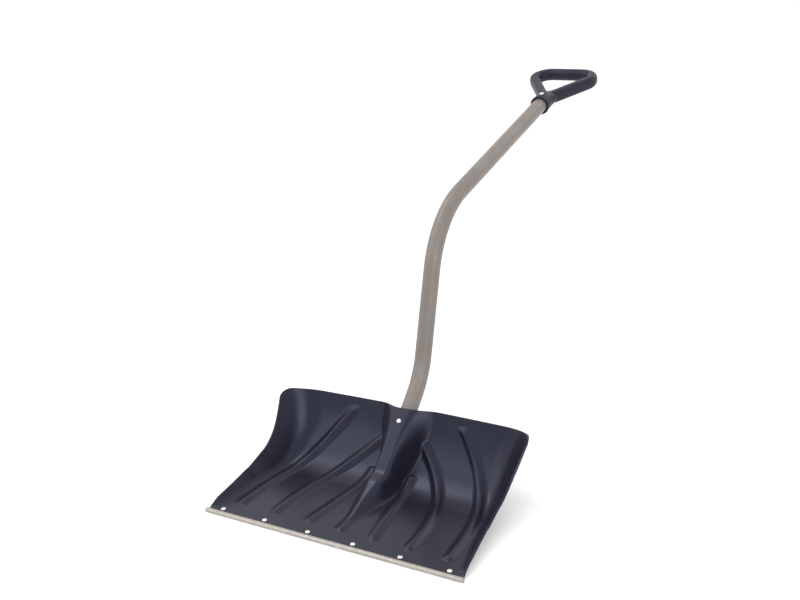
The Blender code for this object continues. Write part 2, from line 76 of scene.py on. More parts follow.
HALF_FRONT = 0.2245
HALF_MIDDLE = 0.2163
HALF_TOP = 0.2300
SIDE_WALL = 0.0513
SIDE_ANGLE = math.radians(59.0)
SIDE_FILLET = 0.016
TOP_FILLET = 0.060
SIDE_SPAN = 1.55  # scoop lengths in half a wave of the side's height
SIDE_POWER = 1.55
SIDE_START = 0.0045
SIDE_RISE = 0.20
SIDE_RAMP = 0.10
FOLD_START = 0.0045
FOLD_RUN = 0.0255
FILLET_GROWS = (0.14, 0.30)
CORNER = 0.022
TOP_ARCH = 0.0022
ARCH_SPAN = 0.440
ARCH_RUN = 0.06
WALL_GROWS = (0.024, 0.040)
WALL_DROP_LIMIT = 2.6
SCOOP_RIM = 0.0007

RIB_HEIGHT = 0.0054
RIB_FRONT_SHARE = 0.72
RIB_GROWS = (0.09, 0.19)
RIB_HALF = 0.0130
RIB_START = 0.038
RIB_END_RUN = 0.0085
RIB_FAN_START = 0.08  # share of the scoop's length at which the ribs start to close in
# each rib's distance at the front, how far it closes in, over which share of the length
INNER_RIB = (0.0590, 0.0240, 0.52)
MIDDLE_RIB = (0.120, 0.108, 0.82)
OUTER_RIB = (0.1845, 0.079, 0.85)
MIDDLE_RIB_POWER = 2.8
OUTER_RIB_POWER = 2.6
OUTER_RIB_STOP = 0.296
MIDDLE_RIB_STOP = 0.300
INNER_RIB_STOP = 0.203
CENTRE_RIB_STOP = 0.100
INNER_RIB_LEAN = 1.05
LOW_RIB_SHARE = 0.8

CREST_COVER = 0.0205
MOUTH_FLARE = -0.0015
MOUTH_RUN = 0.050
NOSE_START = 0.050
NOSE_LENGTH = 0.130
NOSE_HEIGHT = 0.047
NOSE_POWER = 1.25
NOSE_MEETS_COVER = (0.140, 0.180)
CREST_HALF = (0.0012, 0.0086)  # half of the flat crest's width, at the nose and over the tube
CREST_WIDENS = (0.095, 0.170)
FOOT_HALF = (0.0070, 0.0320)
FOOT_WIDENS = (0.040, 0.175)
FOOT_TOP_SPREAD = 0.020
FOOT_TOP_RUN = 0.13
FLANK_POWER = 0.88
MELT_POWER = 5  # the higher, the tighter the ribs and the hump meet

TUBE_OUTER = 0.01425
TUBE_WALL = 0.0012
TUBE_START = (0.2113, 0.0508)
TUBE_PLAN = (
    ("straight", 0.105, 41.8),
    ("bend", 0.133, 72.9),
    ("straight", 0.144, 72.9),
    ("bend", 0.158, 13.5),
    ("straight", 0.405, 13.5),
)
BEND_FLATTENING = 0.015
BEND_WIDENING = 0.3 * BEND_FLATTENING
SLEEVE_OUTER = 0.0172
SLEEVE_END = 0.005
SLEEVE_LENGTH = 0.074
SLEEVE_ROUNDING = 0.003
SLEEVE_FLOOR = -0.001
BOLT_STATION = 0.050

GRIP_BORE = TUBE_OUTER + GAP
GRIP_COLLAR = 0.0182
GRIP_LENGTH = 0.165
GRIP_HALF = 0.0607
GRIP_CORNER = 0.029
GRIP_FOOT = 0.0433
FOOT_RADIUS = 0.015
GRIP_INSERT = 0.030
GRIP_ARM_WIDE = 0.0100
GRIP_ARM_THICK = 0.0125
GRIP_BAR_WIDER = 0.0010
GRIP_BAR_THINNER = 0.0005
GRIP_BAR_FROM = 0.120
GRIP_SQUARENESS = (3.0, 2.2)  # of the section's outline, at the arms and at the bar
COLLAR_ROLL = 0.0018
COLLAR_NECK = (0.028, 0.046)
COLLAR_NECK_WIDER = 1.25
COLLAR_NECK_THINNER = 0.70
GRIP_RIVET_STATION = 0.017

HEAD_RIM = 0.0004
STRIP_RIVET_HEAD = 0.0019
STRIP_RIVET_SHANK = 0.0024
GRIP_RIVET_HEAD = 0.0022
GRIP_RIVET_RADIUS = 0.0042
GRIP_RIVET_SHANK = 0.0022
SCREW_HEAD = 0.0030
SCREW_SHANK = 0.0024
THREAD_CORE = 0.0021
THREAD_PITCH = 0.0008
THREAD_LENGTH = 0.0090
RECESS_LONG = 0.0023
RECESS_SHORT = 0.00048
RECESS_DEPTH = 0.0016
NUT_DEPTH = 0.0055
NUT_HALF = 0.0052
NUT_CHAMFERED = 0.0046
NUT_BORE = 0.0026
NUT_COUNTERSINK = 0.0029
NUT_EDGE = 0.0006

# ---- fineness of the meshes -----------------------------------------------------------------

FRONT_ROWS = (0.0, 0.0045, 0.007, 0.010, 0.014, 0.019, 0.024)
MIDDLE_ROWS = 136
ROUND_ROWS = 12
FLAT_COLUMNS = 116
BEND_COLUMNS = 14
SIDE_COLUMNS = 8
TUBE_SEGMENTS = 56
COLLAR_SEGMENTS = 64
STRIP_PARTS = 96
GRIP_SECTION = 36
GRIP_VOXEL = 0.0009
HEAD_SEGMENTS = 40
SCREW_SEGMENTS = 48
NUT_SEGMENTS = 36
DOME_RINGS = 9

# ---- camera and light -----------------------------------------------------------------------

CAMERA_PLACE = Vector((0.7857, -1.1044, 0.8620))
CAMERA_AZIMUTH = math.radians(29.96)
CAMERA_ELEVATION = math.radians(19.60)
CAMERA_ROLL = math.radians(-2.84)
CAMERA_LENS = 47.25
SENSOR_WIDTH = 36.0
WORLD_STRENGTH = 1.15
LOW_AIM = (0.15, 0.05)  # how far behind the cutting edge and how high the low aim lies
FLOOR_RADIUS = 30.0
FLOOR_SEGMENTS = 64
FLOOR_GAP = 0.0005

# ---- mesh helpers ---------------------------------------------------------------------------


def link(name, mesh):
    item = bpy.data.objects.new(name, mesh)
    bpy.context.scene.collection.objects.link(item)
    return item


def mesh_object(name, points, faces, surface, sharp=35):
    """Smooth mesh object with outward faces and one material."""
    mesh = bpy.data.meshes.new(name)
    mesh.from_pydata([tuple(p) for p in points], [], faces)
    work = bmesh.new()
    work.from_mesh(mesh)
    bmesh.ops.recalc_face_normals(work, faces=work.faces)
    work.to_mesh(mesh)
    work.free()
    mesh.shade_smooth()
    mesh.set_sharp_from_angle(angle=math.radians(sharp))
    mesh.materials.append(surface)
    return link(name, mesh)


def show_instead(item, slot, *nodes):
    """Lets item stand for its solid nodes and ride with the shovel."""
    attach(item, "root")
    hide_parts(*nodes)
    return item


def loop_faces(rings, count, closed=False, capped=True, shift=0):
    """Quads between rings of equal point count, with end caps or a closed loop."""
    faces = []
    last = rings if closed else rings - 1
    for r in range(last):
        here = shift + r * count
        there = shift + ((r + 1) % rings) * count
        for k in range(count):
            nxt = (k + 1) % count
            faces.append((here + k, here + nxt, there + nxt, there + k))
    if capped and not closed:
        faces.append(tuple(shift + k for k in range(count)))
        faces.append(tuple(shift + (rings - 1) * count + k for k in range(count)))
    return faces


def lathe_parts(profile, frame, segments):
    """Points and faces of (radius, height) pairs, ends on the axis, turned about Z."""
    points = [frame @ Vector((0, 0, profile[0][1]))]
    for radius, height in profile[1:-1]:
        for k in range(segments):
            turn = 2 * math.pi * k / segments
            spot = Vector((radius * math.cos(turn), radius * math.sin(turn), height))
            points.append(frame @ spot)
    points.append(frame @ Vector((0, 0, profile[-1][1])))
    rings = len(profile) - 2
    faces = loop_faces(rings, segments, capped=False, shift=1)
    top = len(points) - 1
    last = 1 + (rings - 1) * segments
    for k in range(segments):
        nxt = (k + 1) % segments
        faces.append((0, 1 + nxt, 1 + k))
        faces.append((top, last + k, last + nxt))
    return points, faces


def lathe(name, profile, frame, segments, surface, sharp=35):
    points, faces = lathe_parts(profile, frame, segments)
    return mesh_object(name, points, faces, surface, sharp)


def axis_frame(origin, direction):
    """Frame at origin with Z along direction and X across the shovel."""
    z = Vector(direction).normalized()
    x = Vector((1, 0, 0))
    x = (x - z * x.dot(z)).normalized()
    turned = Matrix((x, z.cross(x), z)).transposed().to_4x4()
    return Matrix.Translation(Vector(origin)) @ turned


def arc(centre, radius, start, stop, count):
    """Points of an arc in a plane, from start to stop in radians, both ends included."""
    out = []
    for k in range(count + 1):
        turn = start + (stop - start) * k / count
        out.append((centre[0] + radius * math.cos(turn), centre[1] + radius * math.sin(turn)))
    return out


def ease(value, low, high):
    t = min(1.0, max(0.0, (value - low) / (high - low)))
    return t * t * (3 - 2 * t)


def blend(a, b, share):
    return a + (b - a) * share


def soften_edges(item, width):
    """Adds a narrow rounding along item's sharp edges."""
    bevel = item.modifiers.new("soft_edges", "BEVEL")
    bevel.width = width
    bevel.segments = 2
    bevel.limit_method = "ANGLE"
    bevel.angle_limit = math.radians(60)
    apply_modifiers(item)


def apply_modifiers(item):
    """Bakes item's modifiers into its mesh."""
    bpy.context.view_layer.update()
    graph = bpy.context.evaluated_depsgraph_get()
    made = bpy.data.meshes.new_from_object(item.evaluated_get(graph))
    item.modifiers.clear()
    item.data = made


# ---- scoop ----------------------------------------------------------------------------------


def arc_step(start, angle, radius, turn):
    """End point and end slope of an arc that turns up as it leaves start."""
    centre = (start[0] - radius * math.sin(angle), start[1] + radius * math.cos(angle))
    end = angle + turn
    return (centre[0] + radius * math.sin(end), centre[1] - radius * math.cos(end)), end


def centre_line(s):
    """Point (y, z) and slope of the scoop's upper face at arc length s."""
    angle = FLAT_SLOPE
    flat = min(s, FLAT_LENGTH)
    point = (EDGE_START + flat * math.cos(angle), SCOOP_TOP_Z + flat * math.sin(angle))
    if s > FLAT_LENGTH:
        run = min(s - FLAT_LENGTH, LOWER_ARC)
        point, angle = arc_step(point, angle, LOWER_RADIUS, run / LOWER_RADIUS)
    if s > FLAT_LENGTH + LOWER_ARC:
        run = s - FLAT_LENGTH - LOWER_ARC
        point, angle = arc_step(point, angle, UPPER_RADIUS, run / UPPER_RADIUS)
    return point, angle


def half_width(u):
    """Half of the scoop's width at a share of its length."""
    bend = 2 * HALF_TOP + 2 * HALF_FRONT - 4 * HALF_MIDDLE
    return HALF_FRONT + (HALF_TOP - HALF_FRONT - bend) * u + bend * u * u


def side_length(s):
    """Length of the curled side, measured up its face."""
    height = SIDE_WALL * math.sin(math.pi * s / SCOOP_LENGTH / SIDE_SPAN) ** SIDE_POWER
    ramp = SIDE_START + SIDE_RISE * min(s, SIDE_RAMP)
    return max(height, ramp) / math.sin(SIDE_ANGLE)


def corner_cut(s):
    """How far the rounded corners at the scoop's top draw its sides in."""
    into = max(0.0, s - (SCOOP_LENGTH - CORNER)) / CORNER
    return CORNER * (1 - math.sqrt(max(0.0, 1 - into * into)))


def fold(s):
    """Fold angle, its tangent length and the length of its arc."""
    share = min(1.0, max(0.0, (s - FOLD_START) / FOLD_RUN))
    angle = SIDE_ANGLE * math.sin(math.pi / 2 * share)
    fillet = blend(SIDE_FILLET, TOP_FILLET, ease(s, *FILLET_GROWS))
    tangent = min(fillet * math.tan(SIDE_ANGLE / 2), 0.95 * side_length(s))
    if angle < 0.01:
        return 0.0, tangent, 2 * tangent
    return angle, tangent, tangent / math.tan(angle / 2) * angle


def rib_centres(s):
    """Distance of the inner, middle and outer rib from the middle of the scoop."""
    into = max(0.0, s / SCOOP_LENGTH - RIB_FAN_START)
    front, closing, run = INNER_RIB
    inner = front - closing * min(1.0, into / run)
    front, closing, run = MIDDLE_RIB
    middle = front - closing * (into / run) ** MIDDLE_RIB_POWER
    front, closing, run = OUTER_RIB
    outer = front - closing * (into / run) ** OUTER_RIB_POWER
    return inner, middle, outer


def rib_lean(s, index):
    """Factor that keeps a rib's width square to its own curved centre line."""
    step = 0.002
    change = (rib_centres(s + step)[index] - rib_centres(s - step)[index]) / (2 * step)
    return math.sqrt(1 + change * change)


def rib_profile(across):
    """Share of the rib's height at a share of its half width: a rounded crown."""
    if across >= 1:
        return 0.0
    return 0.5 + 0.5 * math.cos(math.pi * across)


def rib_ridge(x, s, centre, lean, high):
    """Height of one rib, blunt at both its ends and lower on the scoop's flat."""
    end = max(RIB_START - s, s - high, 0.0) / RIB_END_RUN
    across = math.hypot(abs(x - centre) / (RIB_HALF * lean), end)
    full = RIB_HEIGHT * blend(RIB_FRONT_SHARE, 1.0, ease(s, *RIB_GROWS))
    return full * rib_profile(across)


def rib_heights(x, s):
    side = abs(x)
    inner, middle, outer = rib_centres(s)
    return (
        rib_ridge(side, s, outer, rib_lean(s, 2), OUTER_RIB_STOP),
        rib_ridge(side, s, middle, rib_lean(s, 1), MIDDLE_RIB_STOP),
        LOW_RIB_SHARE * rib_ridge(side, s, inner, INNER_RIB_LEAN, INNER_RIB_STOP),
        LOW_RIB_SHARE * rib_ridge(side, s, 0.0, 1.0, CENTRE_RIB_STOP),
    )


def crest_height(s):
    """Height of the hump's crest: a low nose, then a run parallel to the tube."""
    (y, z), slope = centre_line(s)
    axis = math.radians(TUBE_PLAN[0][2])
    ahead = -(y - TUBE_START[0]) * math.sin(axis) + (z - TUBE_START[1]) * math.cos(axis)
    cover = CREST_COVER + MOUTH_FLARE * ease(s, SCOOP_LENGTH - MOUTH_RUN, SCOOP_LENGTH)
    beside = (cover - ahead) / math.cos(slope - axis)
    nose = NOSE_HEIGHT * (max(0.0, s - NOSE_START) / NOSE_LENGTH) ** NOSE_POWER
    share = ease(s, *NOSE_MEETS_COVER)
    return nose * (1 - share) + beside * share


def spine_height(x, s):
    """Hump over the tube: a narrow flat crest on steep flanks, narrowing to the nose."""
    crest = crest_height(s)
    plateau = blend(*CREST_HALF, ease(s, *CREST_WIDENS))
    spread = FOOT_TOP_SPREAD * ease(s, SCOOP_LENGTH - FOOT_TOP_RUN, SCOOP_LENGTH)
    foot = blend(*FOOT_HALF, ease(s, *FOOT_WIDENS)) + spread
    down = ease(abs(x), plateau, foot)
    return crest * (1 - down) ** FLANK_POWER


def face_height(x, s):
    """Height of the ribs and the hump over the scoop's upper face, melted together."""
    parts = (*rib_heights(x, s), spine_height(x, s))
    return sum(p**MELT_POWER for p in parts) ** (1 / MELT_POWER)


def scoop_point(x, n, s):
    """Point at x across the scoop, n above its upper face and s along it."""
    arch = TOP_ARCH * math.cos(math.pi * x / ARCH_SPAN)
    (y, z), angle = centre_line(s + arch * ease(s, SCOOP_LENGTH - ARCH_RUN, SCOOP_LENGTH))
    return Vector((x, y - n * math.sin(angle), z + n * math.cos(angle)))


def section_point(across, s, flat_half):
    """Distance from the middle and height of a point on the flat, the fold or the side."""
    angle, tangent, bend = fold(s)
    if across <= flat_half or angle == 0.0:
        return across, 0.0
    radius = tangent / math.tan(angle / 2)
    turn = min(angle, (across - flat_half) / radius)
    rest = max(0.0, across - flat_half - bend)
    x = flat_half + radius * math.sin(turn) + rest * math.cos(angle)
    n = radius * (1 - math.cos(turn)) + rest * math.sin(angle)
    return x, n


def row_columns(s):
    """Places of the points from the middle outwards, and half the flat's width."""
    angle, tangent, bend = fold(s)
    length = side_length(s)
    fold_at = half_width(s / SCOOP_LENGTH) - length * math.cos(angle)
    flat_half = fold_at - tangent
    total = bend + length - tangent - corner_cut(s)
    curled = min(bend, 0.8 * total)
    across = [flat_half * k / FLAT_COLUMNS for k in range(FLAT_COLUMNS + 1)]
    across += [flat_half + curled * k / BEND_COLUMNS for k in range(1, BEND_COLUMNS + 1)]
    side = [blend(curled, total, k / SIDE_COLUMNS) for k in range(1, SIDE_COLUMNS + 1)]
    across += [flat_half + share for share in side]
    return across, flat_half


def wall_at(s):
    """Thickness of the scoop's wall: thinner inside the folded strip."""
    return blend(FRONT_WALL, SHELL_WALL, ease(s, *WALL_GROWS))


def wall_drop(x, s):
    """Depth of the lower face below the upper one, so the wall stays even."""
    step = 0.0005
    slope = (face_height(x + step, s) - face_height(abs(x - step), s)) / (2 * step)
    return wall_at(s) * min(WALL_DROP_LIMIT, math.sqrt(1 + slope * slope))


def half_row(s):
    """Upper and lower points of the scoop's right half at s."""
    across, flat_half = row_columns(s)
    angle, _, bend = fold(s)
    wall = wall_at(s)
    upper, lower = [], []
    for value in across:
        x, n = section_point(value, s, flat_half)
        rise = face_height(value, s)
        if value <= flat_half:
            upper.append((x, rise))
            lower.append((x, rise - wall_drop(value, s)))
            continue
        lean = angle * min(1.0, (value - flat_half) / bend)
        upper.append((x - rise * math.sin(lean), n + rise * math.cos(lean)))
        lower.append((x + wall * math.sin(lean), n - wall * math.cos(lean)))
    return upper, lower


def full_row(half, s):
    left = [scoop_point(-x, n, s) for x, n in reversed(half[1:])]
    return left + [scoop_point(x, n, s) for x, n in half]


def scoop_rows():
    """Stations of the mesh's rows: closer at the front edge and at the rounded corners."""
    start = FRONT_ROWS[-1]
    stop = SCOOP_LENGTH - CORNER
    middle = [start + (stop - start) * k / MIDDLE_ROWS for k in range(1, MIDDLE_ROWS + 1)]
    turns = [math.pi / 2 * k / ROUND_ROWS for k in range(1, ROUND_ROWS + 1)]
    return [*FRONT_ROWS, *middle, *(stop + CORNER * math.sin(turn) for turn in turns)]


def shell_parts():
    """Points and faces of the scoop's shell: upper face, lower face and the rim between."""
    upper, lower = [], []
    for s in scoop_rows():
        top, bottom = half_row(s)
        upper.append(full_row(top, s))
        lower.append(full_row(bottom, s))
    wide, tall = len(upper[0]), len(upper)
    points = [p for line in upper + lower for p in line]
    shift = wide * tall
    faces = []
    for r in range(tall - 1):
        for c in range(wide - 1):
            a = r * wide + c
            quad = (a, a + 1, a + 1 + wide, a + wide)
            faces.append(quad)
            faces.append(tuple(shift + k for k in reversed(quad)))
    border = list(range(wide))
    border += [r * wide + wide - 1 for r in range(1, tall)]
    border += [(tall - 1) * wide + c for c in range(wide - 2, -1, -1)]
    border += [r * wide for r in range(tall - 2, 0, -1)]
    for k, a in enumerate(border):
        b = border[(k + 1) % len(border)]
        faces.append((a, shift + a, shift + b, b))
    return points, faces


def socket_axis():
    """Start and direction of the tube's end in the sleeve."""
    angle = math.radians(TUBE_PLAN[0][2])
    return Vector((0, *TUBE_START)), Vector((0, math.cos(angle), math.sin(angle)))


def sleeve_parts():
    """Moulded sleeve behind the hump, with a rounded mouth and a domed blind end."""
    start, along = socket_axis()
    outer, inner = SLEEVE_OUTER, TUBE_OUTER + GAP
    lip = (outer - inner) / 2
    rounding = SLEEVE_ROUNDING
    profile = [(0, -SLEEVE_END)]
    profile += arc((outer - rounding, -SLEEVE_END + rounding), rounding, -math.pi / 2, 0, 5)
    middle = (inner + lip, SLEEVE_LENGTH - lip)
    profile += arc(middle, lip, 0, math.pi, 8)
    profile += [(inner, SLEEVE_FLOOR), (0, SLEEVE_FLOOR)]
    return lathe_parts(profile, axis_frame(start, along), TUBE_SEGMENTS)


def build_scoop(surface):
    points, faces = shell_parts()
    sleeve_points, sleeve_faces = sleeve_parts()
    shift = len(points)
    points += sleeve_points
    faces += [tuple(shift + k for k in face) for face in sleeve_faces]
    item = mesh_object("scoop_shell", points, faces, surface, 50)
    soften_edges(item, SCOOP_RIM)
    return show_instead(item, "scoop_plastic", "scoop")


# ---- wear strip -----------------------------------------------------------------------------


def strip_outline():
    """Folded sheet seen from its end: flange below, rounded nose, lip on top."""
    low = STRIP_BOTTOM
    high = STRIP_BOTTOM + STRIP_HEIGHT
    nose = STRIP_HEIGHT / 2
    edge = STRIP_SHEET / 2
    inner = nose - STRIP_SHEET
    middle = (nose, low + nose)
    flange = arc((FLANGE_DEPTH - edge, low + edge), edge, math.pi / 2, -math.pi / 2, 6)
    lip = arc((LIP_DEPTH - edge, high - edge), edge, math.pi / 2, -math.pi / 2, 6)
    outline = flange + arc(middle, nose, -math.pi / 2, -3 * math.pi / 2, 16)
    outline += lip + arc(middle, inner, math.pi / 2, 3 * math.pi / 2, 10)
    return outline


def build_strip(surface):
    """Folded steel strip, its flange's ends cut at a slant, faintly wavy as rolled sheet is."""
    outline = strip_outline()
    stations = [-1 + 2 * k / STRIP_PARTS for k in range(STRIP_PARTS + 1)]
    points = []
    for share in stations:
        for y, z in outline:
            trim = FLANGE_TRIM * max(0.0, y - LIP_DEPTH) / (FLANGE_DEPTH - LIP_DEPTH)
            x = share * (STRIP_HALF - trim)
            wave = STRIP_WAVE * math.sin(31 * x + 0.7) * math.sin(12 * x)
            rise = wave * ease(z, STRIP_BOTTOM, STRIP_BOTTOM + STRIP_HEIGHT)
            points.append(Vector((x, y, z + rise - STRIP_WAVE)))
    faces = loop_faces(len(stations), len(outline))
    item = mesh_object("edge_strip", points, faces, surface, 40)
    soften_edges(item, STRIP_EDGE)
    return show_instead(item, "strip_steel", "wear_strip")


# ---- tube -----------------------------------------------------------------------------------


def tube_stations(step, pace):
    """Centre, slope and share of bending of each station, from socket to grip.

    step is the turn between stations in a bend, pace their distance on a straight run.
    """
    y, z = TUBE_START
    angle = math.radians(TUBE_PLAN[0][2])
    out = [(y, z, angle, 0.0)]
    for kind, size, target in TUBE_PLAN:
        if kind == "straight":
            count = max(1, round(size / pace))
            for _ in range(count):
                y += size / count * math.cos(angle)
                z += size / count * math.sin(angle)
                out.append((y, z, angle, 0.0))
            continue
        turn = math.radians(target) - angle
        count = max(2, round(abs(turn) / step))
        sign = 1 if turn > 0 else -1
        for k in range(count):
            (y, z), angle = arc_step((y, z), angle, sign * size, turn / count)
            out.append((y, z, angle, math.sin(math.pi * (k + 1) / count)))
    return out


def build_tube(surface):
    """Bent tube, very slightly flattened where it is bent, with a real wall."""
    stations = tube_stations(math.radians(1.5), 0.012)
    points = []
    for base in (TUBE_OUTER, TUBE_OUTER - TUBE_WALL):
        for y, z, angle, bent in stations:
            for k in range(TUBE_SEGMENTS):
                turn = 2 * math.pi * k / TUBE_SEGMENTS
                lift = base * (1 - BEND_FLATTENING * bent) * math.sin(turn)
                x = base * (1 + BEND_WIDENING * bent) * math.cos(turn)
                spot = (x, y - lift * math.sin(angle), z + lift * math.cos(angle))
                points.append(Vector(spot))
    rings = len(stations)
    shift = rings * TUBE_SEGMENTS
    faces = loop_faces(rings, TUBE_SEGMENTS, capped=False)
    faces += [tuple(shift + k for k in reversed(face)) for face in faces[:]]
    for first in (0, (rings - 1) * TUBE_SEGMENTS):
        for k in range(TUBE_SEGMENTS):
            nxt = (k + 1) % TUBE_SEGMENTS
            faces.append((first + k, first + nxt, shift + first + nxt, shift + first + k))
    item = mesh_object("tube_shaft", points, faces, surface, 40)
    return show_instead(item, "tube_paint", "handle_tube")


# ---- grip -----------------------------------------------------------------------------------


def grip_frame():
    """Frame at the collar's mouth, with Z along the tube's end and X across the shovel."""
    y, z, angle, _ = tube_stations(math.radians(7), 1.0)[-1]
    along = Vector((0, math.cos(angle), math.sin(angle)))
    return axis_frame(Vector((0, y, z)) - along * GRIP_INSERT, along)


def grip_loop():
    """Centre line of the D in the grip's own plane: bar, corners, arms and foot."""
    corner = Vector((GRIP_HALF - GRIP_CORNER, GRIP_LENGTH - GRIP_CORNER))
    foot = Vector((0, GRIP_FOOT + FOOT_RADIUS))
    reach = corner - foot
    lean = math.acos((FOOT_RADIUS - GRIP_CORNER) / reach.length)
    normal = math.atan2(reach.y, reach.x) - lean
    half = [(corner.x * k / 8, GRIP_LENGTH) for k in range(8)]
    half += arc(corner, GRIP_CORNER, math.pi / 2, normal, 22)
    start = half[-1]
    bottom = arc(foot, FOOT_RADIUS, normal, -math.pi / 2, 12)
    for k in range(1, 20):
        half.append(tuple(blend(a, b, k / 20) for a, b in zip(start, bottom[0])))
    half += bottom
    return half + [(-x, t) for x, t in reversed(half[1:-1])]


def rounded(value, power):
    """Turns a sine or cosine into one of a rounded square, fuller as power grows."""
    return math.copysign(abs(value) ** (2 / power), value)


def grip_ring_parts(frame):
    """D-shaped ring: round bar, flatter arms with softened edges."""
    loop = grip_loop()
    points = []
    for k, (x, t) in enumerate(loop):
        before = Vector(loop[k - 1])
        after = Vector(loop[(k + 1) % len(loop)])
        tangent = (after - before).normalized()
        side = Vector((-tangent.y, tangent.x))
        bar = ease(t, GRIP_BAR_FROM, GRIP_LENGTH)
        wide = GRIP_ARM_WIDE + GRIP_BAR_WIDER * bar
        thick = GRIP_ARM_THICK - GRIP_BAR_THINNER * bar
        power = blend(*GRIP_SQUARENESS, bar)
        for j in range(GRIP_SECTION):
            turn = 2 * math.pi * j / GRIP_SECTION
            flat = side * (wide * rounded(math.cos(turn), power))
            lift = thick * rounded(math.sin(turn), power)
            points.append(frame @ Vector((x + flat.x, lift, t + flat.y)))
    return points, loop_faces(len(loop), GRIP_SECTION, closed=True)


def flattened(spot):
    """Thins and widens the collar's upper end, so it runs into the foot of the ring."""
    share = ease(spot.z, *COLLAR_NECK)
    wider = blend(1.0, COLLAR_NECK_WIDER, share)
    thinner = blend(1.0, COLLAR_NECK_THINNER, share)
    return Vector((spot.x * wider, spot.y * thinner, spot.z))


def collar_parts(frame):
    """Collar with a rolled mouth and a blind bore for the tube."""
    rim = GRIP_COLLAR
    mouth = (rim - 0.0004, COLLAR_ROLL)
    profile = [(0, GRIP_INSERT + 0.001), (GRIP_BORE, GRIP_INSERT + 0.001), (GRIP_BORE, 0.0006)]
    profile += arc(mouth, COLLAR_ROLL, -math.pi / 2, math.pi / 2, 8)
    profile += [
        (rim, 0.0060),
        (rim, 0.0110),
        (rim - 0.0002, 0.0250),
        (rim - 0.0004, 0.0400),
        (rim - 0.0016, 0.0470),
        (rim - 0.0040, 0.0530),
        (0.0100, 0.0590),
        (0, 0.0610),
    ]
    points, faces = lathe_parts(profile, Matrix.Identity(4), COLLAR_SEGMENTS)
    return [frame @ flattened(spot) for spot in points], faces


def build_grip(surface):
    """Collar and ring melted into one moulding with soft inside corners."""
    frame = grip_frame()
    points, faces = collar_parts(frame)
    ring_points, ring_faces = grip_ring_parts(frame)
    shift = len(points)
    points += ring_points
    faces += [tuple(shift + k for k in face) for face in ring_faces]
    item = mesh_object("grip_moulding", points, faces, surface, 60)
    remesh = item.modifiers.new("join", "REMESH")
    remesh.mode = "VOXEL"
    remesh.voxel_size = GRIP_VOXEL
    remesh.use_smooth_shade = True
    smooth = item.modifiers.new("soften", "SMOOTH")
    smooth.factor = 0.5
    smooth.iterations = 14
    apply_modifiers(item)
    item.data.shade_smooth()
    return show_instead(item, "grip_plastic", "d_grip")


# ---- fasteners ------------------------------------------------------------------------------


def dome(radius, rim, height, base):
    """Profile of a rivet head: a thin upright rim, then a dome up to the axis."""
    out = [(radius, base), (radius, base + rim)]
    for k in range(1, DOME_RINGS):
        turn = math.pi / 2 * k / DOME_RINGS
        out.append((radius * math.cos(turn), base + rim + (height - rim) * math.sin(turn)))
    return out


def build_strip_rivet(index, surface):
    """Domed rivet whose tail is spread flush into the strip."""
    name = f"strip_rivet_{index}"
    low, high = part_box(name)
    middle = (low + high) / 2
    radius = (high.x - low.x) / 2
    base = high.z - STRIP_RIVET_HEAD
    tail = low.z
    shank = STRIP_RIVET_SHANK
    profile = [(0, tail + 0.0002), (0.0012, tail + 0.0002), (0.0016, tail), (0.0034, tail)]
    profile += [(0.0036, tail + 0.0002), (shank, tail + 0.0009), (shank, base)]
    profile += dome(radius, HEAD_RIM, STRIP_RIVET_HEAD, base)
    profile += [(0, high.z)]
    frame = Matrix.Translation(Vector((middle.x, middle.y, 0)))
    item = lathe(f"rivet_head_{index}", profile, frame, HEAD_SEGMENTS, surface, 40)
    return show_instead(item, "rivet_steel", name)


def grip_rivet_frame():
    frame = grip_frame()
    origin = frame @ Vector((0, 0, GRIP_RIVET_STATION))
    return axis_frame(origin, frame.to_3x3() @ Vector((0, -1, 0)))


def build_grip_rivet(surface):
    """Rivet through the collar: a domed head above, a spread tail with a hollow below."""
    reach = GRIP_COLLAR + 0.0002
    shank = GRIP_RIVET_SHANK
    profile = [(0, -reach - 0.0006), (0.0014, -reach - 0.0007), (0.0020, -reach - 0.0012)]
    profile += [(0.0036, -reach - 0.0012), (0.0040, -reach - 0.0008), (0.0040, -reach)]
    profile += [(shank, -reach), (shank, reach)]
    profile += dome(GRIP_RIVET_RADIUS, HEAD_RIM, GRIP_RIVET_HEAD, reach)
    profile += [(0, reach + GRIP_RIVET_HEAD)]
    frame = grip_rivet_frame()
    item = lathe("grip_rivet_head", profile, frame, HEAD_SEGMENTS, surface, 40)
    return show_instead(item, "fastener_steel", "grip_rivet")


def socket_bolt_frame():
    start, along = socket_axis()
    out = Vector((0, -along.z, along.y))
    return axis_frame(start + along * BOLT_STATION, out)


def bolt_ends():
    """Lowest and highest reach of the bolt along its own axis."""
    frame = socket_bolt_frame().inverted()
    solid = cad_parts["socket_bolt"]
    heights = [(frame @ v.co).z for v in solid.data.vertices]
    return min(heights), max(heights)


def threaded(low, high):
    """Profile pairs of a run of thread ridges."""
    out = []
    for k in range(int((high - low) / THREAD_PITCH)):
        out.append((THREAD_CORE, low + THREAD_PITCH * k))
        out.append((SCREW_SHANK, low + THREAD_PITCH * (k + 0.5)))
    return out


def cross_cutter(frame, base, surface):
    """Two tapered blades that press the cross recess into the screw's head."""
    points, faces = [], []
    for flip in (False, True):
        shift = len(points)
        for height, grow in ((base, 0.55), (base + 0.0040, 1.15)):
            for a, b in ((-1, -1), (1, -1), (1, 1), (-1, 1)):
                long, short = RECESS_LONG * grow * a, RECESS_SHORT * grow * b
                x, y = (short, long) if flip else (long, short)
                points.append(frame @ Vector((x, y, height)))
        faces += loop_faces(2, 4, shift=shift)
    return mesh_object("cross_cutter", points, faces, surface)


